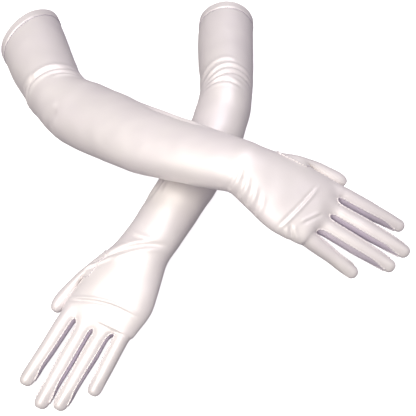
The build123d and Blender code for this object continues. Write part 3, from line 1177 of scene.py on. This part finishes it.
class Palette:
    """Makes the materials."""

    def satin(self, finish: SatinFinish) -> bpy.types.Material:
        """Makes the satin.

        Args:
            finish: Its numbers.

        Returns:
            The material.
        """
        material, nodes, links, shader = self.start(finish.name)
        place = nodes.new("ShaderNodeTexCoord")
        cloud = nodes.new("ShaderNodeTexNoise")
        cloud.inputs["Scale"].default_value = 1 / 0.05
        cloud.inputs["Detail"].default_value = 2.0
        tint = nodes.new("ShaderNodeMix")
        tint.data_type = "RGBA"
        tint.inputs["A"].default_value = hex_colour(finish.light)
        tint.inputs["B"].default_value = hex_colour(finish.shade)
        weave = nodes.new("ShaderNodeTexWave")
        weave.inputs["Scale"].default_value = 2 * math.pi / (20 * finish.thread_mm * MM)
        weave.bands_direction = "DIAGONAL"
        bump = nodes.new("ShaderNodeBump")
        bump.inputs["Strength"].default_value = finish.bump
        bump.inputs["Distance"].default_value = 0.05 * MM
        links.new(place.outputs["Object"], cloud.inputs["Vector"])
        links.new(place.outputs["Object"], weave.inputs["Vector"])
        links.new(cloud.outputs["Fac"], tint.inputs["Factor"])
        links.new(tint.outputs["Result"], shader.inputs["Base Color"])
        links.new(weave.outputs["Fac"], bump.inputs["Height"])
        links.new(bump.outputs["Normal"], shader.inputs["Normal"])
        shader.inputs["Roughness"].default_value = finish.roughness
        shader.inputs["Metallic"].default_value = finish.metallic
        shader.inputs["Specular IOR Level"].default_value = 0.55
        shader.inputs["Sheen Weight"].default_value = 0.12
        shader.inputs["Sheen Roughness"].default_value = 0.4
        return material

    def plain(self, finish: PlainFinish) -> bpy.types.Material:
        """Makes a plain yarn.

        Args:
            finish: Its numbers.

        Returns:
            The material.
        """
        material, nodes, links, shader = self.start(finish.name)
        place = nodes.new("ShaderNodeTexCoord")
        rib = nodes.new("ShaderNodeTexWave")
        rib.inputs["Scale"].default_value = 2 * math.pi / (20 * finish.thread_mm * MM)
        bump = nodes.new("ShaderNodeBump")
        bump.inputs["Strength"].default_value = 0.2
        bump.inputs["Distance"].default_value = 0.1 * MM
        links.new(place.outputs["Object"], rib.inputs["Vector"])
        links.new(rib.outputs["Fac"], bump.inputs["Height"])
        links.new(bump.outputs["Normal"], shader.inputs["Normal"])
        shader.inputs["Base Color"].default_value = hex_colour(finish.colour)
        shader.inputs["Roughness"].default_value = finish.roughness
        return material

    def start(self, name: str) -> tuple:
        """Starts a material.

        Args:
            name: Its name.

        Returns:
            The material, its nodes, its links and its shader.
        """
        material = bpy.data.materials.new(name)
        material.use_nodes = True
        tree = material.node_tree
        return material, tree.nodes, tree.links, tree.nodes["Principled BSDF"]


def tube_piece(
    name: str,
    lines: list[list[Vector]],
    radius: float,
    closed: bool,
    finish: bpy.types.Material,
    rounds: int = 2,
) -> bpy.types.Object:
    """Lays round yarn along lines.

    Args:
        name: The piece's name.
        lines: The lines, m.
        radius: The yarn's radius, mm.
        closed: Whether each line closes on itself.
        finish: Its material.
        rounds: How finely its round is cut.

    Returns:
        A mesh object at the origin.
    """
    curve = bpy.data.curves.new(name, "CURVE")
    curve.dimensions = "3D"
    curve.bevel_depth = radius * MM
    curve.bevel_resolution = rounds
    curve.use_fill_caps = True
    for line in lines:
        spline = curve.splines.new("POLY")
        spline.points.add(len(line) - 1)
        spline.points.foreach_set("co", [value for point in line for value in (*point, 1.0)])
        spline.use_cyclic_u = closed
    holder = bpy.data.objects.new(f"{name}_line", curve)
    bpy.context.scene.collection.objects.link(holder)
    mesh = bpy.data.meshes.new_from_object(holder.evaluated_get(bpy.context.evaluated_depsgraph_get()))
    bpy.data.objects.remove(holder)
    bpy.data.curves.remove(curve)
    mesh.name = name
    mesh.materials.clear()
    mesh.materials.append(finish)
    mesh.polygons.foreach_set("use_smooth", [True] * len(mesh.polygons))
    piece = bpy.data.objects.new(name, mesh)
    bpy.context.scene.collection.objects.link(piece)
    return piece


@dataclass
class Seam:
    """The seam round one piece of cloth: points and the cloth's outward direction at each."""

    region: str
    lines: list[list[tuple[Vector, Vector]]] = field(default_factory=list)


def find_seams(skin: GloveSkin) -> list[Seam]:
    """Finds the edges of the fourchettes and of the set-in thumb.

    Args:
        skin: The folded skin before it is cut.

    Returns:
        One seam for each of them.
    """
    bm = bmesh.new()
    bm.from_mesh(skin.mesh)
    layer = bm.faces.layers.int["region"]
    groups: dict[str, list] = {}
    for edge in bm.edges:
        if len(edge.link_faces) != 2:
            continue
        names = [skin.regions[face[layer]] for face in edge.link_faces]
        sewn = [name for name in names if "fourchette" in name or name == "thumb"]
        if len(sewn) == 1:
            groups.setdefault(sewn[0], []).append(edge)
    seams = []
    for region, edges in sorted(groups.items()):
        lines = [[(vert.co.copy(), vert.normal.copy()) for vert in chain] for chain in chains(edges)]
        seams.append(Seam(region, lines))
    bm.free()
    return seams


def position(vert: bmesh.types.BMVert) -> tuple[float, ...]:
    """Gives a vertex a rank that is the same in every run.

    Args:
        vert: The vertex.

    Returns:
        Its coordinates.
    """
    return tuple(vert.co)


def chains(edges: list[bmesh.types.BMEdge]) -> list[list[bmesh.types.BMVert]]:
    """Strings edges together.

    Args:
        edges: The edges.

    Returns:
        Lists of vertices in order.
    """
    links: dict = {}
    for edge in edges:
        for vert in edge.verts:
            links.setdefault(vert, []).append(edge)
    left, found = set(edges), []
    while left:
        ends = [vert for vert, joined in links.items() if sum(e in left for e in joined) == 1]
        vert = min(ends or [vert for edge in left for vert in edge.verts], key=position)
        chain = [vert]
        while True:
            onward = [edge.other_vert(vert) for edge in links[vert] if edge in left]
            if not onward:
                break
            after = min(onward, key=position)
            left.discard(next(edge for edge in links[vert] if edge.other_vert(vert) is after))
            vert = after
            chain.append(vert)
        found.append(chain)
    return found


def overcast(seam: Seam, spacing: float, reach: float) -> list[list[Vector]]:
    """Lays overcast stitches over a seam.

    Args:
        seam: The seam.
        spacing: From one stitch to the next, mm.
        reach: Half a stitch's length, mm.

    Returns:
        The stitches as short lines.
    """
    found = []
    for line in seam.lines:
        passed = 0.0
        for (a, up), (b, _) in zip(line, line[1:]):
            passed += (b - a).length / MM
            if passed < spacing:
                continue
            passed = 0.0
            along = (b - a).normalized()
            across = up.cross(along)
            lean = (across + along * 0.6).normalized() * reach * MM
            lift = up * 0.75 * MM
            found.append([a - lean + lift * 0.2, a + lift, a + lean + lift * 0.2])
    return found


class Glove:
    """One glove: its cloth, its seams and its hem."""

    def __init__(self, frame: dict, wear: Wear, finishes: dict[str, bpy.types.Material]) -> None:
        """Reads the glove's frames.

        Args:
            wear: The glove.
            finishes: The materials by name.
        """
        self.wear = wear
        self.limbs = read_limbs(frame, wear)
        self.finishes = finishes
        self.made: list[bpy.types.Object] = []

    def body(self, name: str) -> str:
        """Names one of this glove's bodies.

        Args:
            name: The body without its side.

        Returns:
            The body's full name.
        """
        return f"{self.wear.name}_{name}"

    def move(self, piece: bpy.types.Object, region: str) -> None:
        """Ties a finger root's piece to the finger roots' body and bakes every other piece's transform
        where it stands; the blend places it works out are not used.

        Args:
            piece: The piece.
            region: Its region.
        """
        limbs, body = self.limbs, self.body
        if region == "upper":
            start = limbs.forearm.at(ELBOW_BLEND, 0, 0)
            end = limbs.upper.at(-ELBOW_BLEND, 0, 0)
            body("forearm")
            body("upper_arm")
            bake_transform(piece)
        elif region == "wrist":
            start = limbs.forearm.at(limbs.forearm_length - WRIST_BLEND[0], 0, 0)
            end = limbs.hand.at(WRIST_BLEND[1], 0, 0)
            body("forearm")
            body("hand")
            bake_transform(piece)
        elif region in ("hand_back", "hand_palm"):
            start, end = (limbs.hand.at(at, 0, 0) for at in KNUCKLE_BEND)
            body("hand")
            body("finger_roots")
            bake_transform(piece)
        elif region == "thumb":
            side = self.wear.thumb_side
            start, end = (limbs.hand.at(x, side * y, z) for x, y, z in THUMB_BEND)
            body("hand")
            body("thumb")
            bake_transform(piece)
        else:
            pairs = zip(FINGERS, limbs.fingers)
            shape, finger = next(pair for pair in pairs if region.startswith(pair[0].name))
            if "_root" in region:
                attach(piece, body("finger_roots"))
            else:
                knuckle = shape.middle_knuckle
                reach = min(KNUCKLE_REACH, knuckle - ROOT_END - 0.5)
                start, end = finger.at(knuckle - reach, 0, 0), finger.at(knuckle + reach, 0, 0)
                tip = body(f"{shape.name}_tip")
                body("finger_roots")
                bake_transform(piece)

    def build(self) -> list[bpy.types.Object]:
        """Builds the glove.

        Returns:
            Its pieces.
        """
        skin = GloveSkin(self.wear, self.limbs)
        seams = find_seams(skin)
        nodes = {"upper": "upper_sleeve", "wrist": "forearm_sleeve"}
        for region, piece in sorted(skin.pieces(self.finishes["satin"]).items()):
            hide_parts(self.body(nodes.get(region, region)))
            if "fourchette" in region:
                # the fourchettes take the white satin painted darker lilac, painted shade for the gaps
                # between the fingers
                piece.data.materials[0] = self.finishes["fourchette"]
            self.move(piece, region)
            self.made.append(piece)
        for seam in seams:
            self.stitch(seam)
        self.hem()
        return self.made

    def stitch(self, seam: Seam) -> None:
        """Sews one fourchette or the thumb in.

        Args:
            seam: Its seam.
        """
        name = f"{self.wear.name}_{seam.region}"
        lines = [[point + up * 0.1 * MM for point, up in line] for line in seam.lines]
        welt = tube_piece(f"{name}_welt", lines, WELT_RADIUS, False, self.finishes["satin"])
        sewn = overcast(seam, STITCH_SPACING, STITCH_REACH)
        stitches = tube_piece(f"{name}_stitches", sewn, STITCH_RADIUS, False, self.finishes["thread"], 1)
        for piece in (welt, stitches):
            if seam.region == "thumb":
                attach(piece, self.body("hand"))
            else:
                self.move(piece, seam.region)
            self.made.append(piece)

    def hem(self) -> None:
        """Makes the turned hem: its rolled edge, its facing, its elastic and its stitching."""
        rings = sleeve_rings(self.wear, self.limbs)
        mouth, inner = rings[-1], rings[-3]
        reach = self.limbs.upper_length
        name = self.wear.name
        satin, thread = self.finishes["satin"], self.finishes["thread"]
        rolled = [mouth.points(0.9)]
        edge = tube_piece(f"{name}_hem_rolled_edge", rolled, HEM_ROLL_RADIUS, True, satin, 4)
        facing = self.band(f"{name}_hem_facing_band", -reach, -(reach - HEM_WIDTH), 2.2, 0.5, "satin")
        elastic = self.band(f"{name}_hem_elastic_band", -(reach - 2), -(reach - 9), 1.0, 0.8, "elastic")
        sewn = self.hem_stitches(inner)
        stitching = tube_piece(f"{name}_hem_stitches", sewn, HEM_STITCH_RADIUS, False, thread, 1)
        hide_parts(f"{name}_hem_facing")
        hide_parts(f"{name}_hem_elastic")
        for piece in (edge, facing, elastic, stitching):
            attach(piece, self.body("upper_arm"))
            self.made.append(piece)

    def hem_stitches(self, ring: Ring) -> list[list[Vector]]:
        """Lays the running stitches that hold the hem.

        Args:
            ring: The ring they follow.

        Returns:
            The stitches as short lines.
        """
        points = ring.points(-0.15)
        found = []
        for a, b in zip(points, [*points[1:], points[0]]):
            for share in (0.0, 0.25, 0.5, 0.75):
                found.append([a.lerp(b, share), a.lerp(b, share + 0.16)])
        return found

    def band(
        self, name: str, start: float, end: float, inset: float, wall: float, finish: str
    ) -> bpy.types.Object:
        """Makes a ring of cloth inside the sleeve's mouth.

        Args:
            name: The piece's name.
            start: Its first station, mm.
            end: Its last one.
            inset: How far inside the sleeve, mm.
            wall: Its thickness, mm.
            finish: Its material's name.

        Returns:
            The piece.
        """
        bm = bmesh.new()
        loops = []
        for step in range(4):
            at = start + (end - start) * step / 3
            points = cage_ring(upper_ring(self.wear, self.limbs, at).points(inset))
            made = bmesh.ops.create_circle(bm, segments=SLEEVE_RING, radius=1.0)["verts"]
            made.sort(key=lambda vert: math.atan2(vert.co.y, vert.co.x) % (2 * math.pi))
            for vert, point in zip(made, points):
                vert.co = point
            loops.append([edge for edge in bm.edges if all(vert in made for vert in edge.verts)])
        for low, high in zip(loops, loops[1:]):
            bmesh.ops.bridge_loops(bm, edges=[*low, *high])
        bmesh.ops.recalc_face_normals(bm, faces=bm.faces[:])
        mesh = bpy.data.meshes.new(name)
        bm.to_mesh(mesh)
        bm.free()
        piece = bpy.data.objects.new(name, mesh)
        bpy.context.scene.collection.objects.link(piece)
        finer = piece.modifiers.new("smooth", "SUBSURF")
        finer.levels = finer.render_levels = 2
        thick = piece.modifiers.new("cloth", "SOLIDIFY")
        thick.thickness, thick.offset = wall * MM, 0.0
        solved = piece.evaluated_get(bpy.context.evaluated_depsgraph_get())
        piece.data = bpy.data.meshes.new_from_object(solved)
        piece.modifiers.clear()
        piece.data.materials.append(self.finishes[finish])
        piece.data.polygons.foreach_set("use_smooth", [True] * len(piece.data.polygons))
        return piece


@dataclass(frozen=True)
class Softbox:
    """A square softbox aimed at the gloves: its place and side in metres, its power in watts."""

    name: str
    place: tuple[float, float, float]
    size: float
    power: float
    colour: str


@dataclass
class Studio:
    """The floor, the lights and the camera; lengths in metres."""

    softboxes: tuple[Softbox, ...] = (
        Softbox("key_softbox", (-0.3, -0.42, 1.2), 0.9, 15.2, "fffaf0"),
        Softbox("top_softbox", (0.3, 0.35, 1.2), 0.6, 3.6, "f4f0ff"),
    )
    sky: str = "cdc4ce"
    sky_strength: float = 0.40
    floor_size: float = 20.0
    floor_glow: float = 0.72
    lens: float = 48.0
    target: tuple[float, float, float] = (0.0337, -0.0232, 0.0)
    camera_distance: float = 0.646
    camera_elevation: float = 59.8

    def build(self) -> None:
        """Sets up the studio."""
        self.floor()
        for softbox in self.softboxes:
            self.light(softbox)
        world = bpy.data.worlds.new("studio_world")
        world.use_nodes = True
        sky = world.node_tree.nodes["Background"]
        sky.inputs["Color"].default_value = hex_colour(self.sky)
        sky.inputs["Strength"].default_value = self.sky_strength
        bpy.context.scene.world = world
        bpy.context.scene.view_settings.view_transform = "Standard"
        self.camera()

    def floor(self) -> None:
        """Lays the plain pale floor."""
        bm = bmesh.new()
        bmesh.ops.create_grid(bm, x_segments=1, y_segments=1, size=self.floor_size)
        mesh = bpy.data.meshes.new("floor")
        bm.to_mesh(mesh)
        bm.free()
        floor = bpy.data.objects.new("floor", mesh)
        bpy.context.scene.collection.objects.link(floor)
        # matt white paper, seamless
        material = bpy.data.materials.new("floor_paper")
        material.use_nodes = True
        shader = material.node_tree.nodes["Principled BSDF"]
        shader.inputs["Base Color"].default_value = hex_colour("ffffff")
        shader.inputs["Roughness"].default_value = 1.0
        shader.inputs["Specular IOR Level"].default_value = 0.0
        shader.inputs["Emission Color"].default_value = hex_colour("ffffff")
        shader.inputs["Emission Strength"].default_value = self.floor_glow
        mesh.materials.append(material)
        floor.visible_diffuse = floor.visible_glossy = False

    def light(self, softbox: Softbox) -> None:
        """Hangs a softbox.

        Args:
            softbox: The softbox.
        """
        lamp = bpy.data.lights.new(softbox.name, "AREA")
        lamp.size = softbox.size
        lamp.energy = softbox.power
        lamp.color = hex_colour(softbox.colour)[:3]
        holder = bpy.data.objects.new(softbox.name, lamp)
        holder.location = softbox.place
        holder.rotation_euler = (-Vector(softbox.place)).to_track_quat("-Z", "Y").to_euler()
        bpy.context.scene.collection.objects.link(holder)

    def camera(self) -> None:
        """Sets the camera."""
        lens = bpy.data.cameras.new("camera")
        lens.lens = self.lens
        lens.sensor_width = 36.0
        holder = bpy.data.objects.new("camera", lens)
        lean = math.radians(self.camera_elevation)
        offset = Vector((0, -math.cos(lean), math.sin(lean))) * self.camera_distance
        holder.location = Vector(self.target) + offset
        holder.rotation_euler = (-offset).to_track_quat("-Z", "Y").to_euler()
        bpy.context.scene.collection.objects.link(holder)
        bpy.context.scene.camera = holder


def main() -> None:
    """Builds the scene."""
    logging.basicConfig(level=logging.INFO, format="%(message)s")
    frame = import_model()
    palette = Palette()
    finishes = {
        "satin": palette.satin(SatinFinish()),
        # the fourchettes' satin is the white satin painted darker lilac: painted shade for the gaps
        # between the fingers
        "fourchette": palette.satin(SatinFinish("fourchette_satin", "e4dde6", "d6cedd")),
        "thread": palette.plain(THREAD),
        "elastic": palette.plain(ELASTIC),
    }
    for wear in (RIGHT, LEFT):
        for piece in Glove(frame, wear, finishes).build():
            LOG.info("%s: %d faces", piece.name, len(piece.data.polygons))
    Studio().build()


if __name__ == "__main__":
    main()
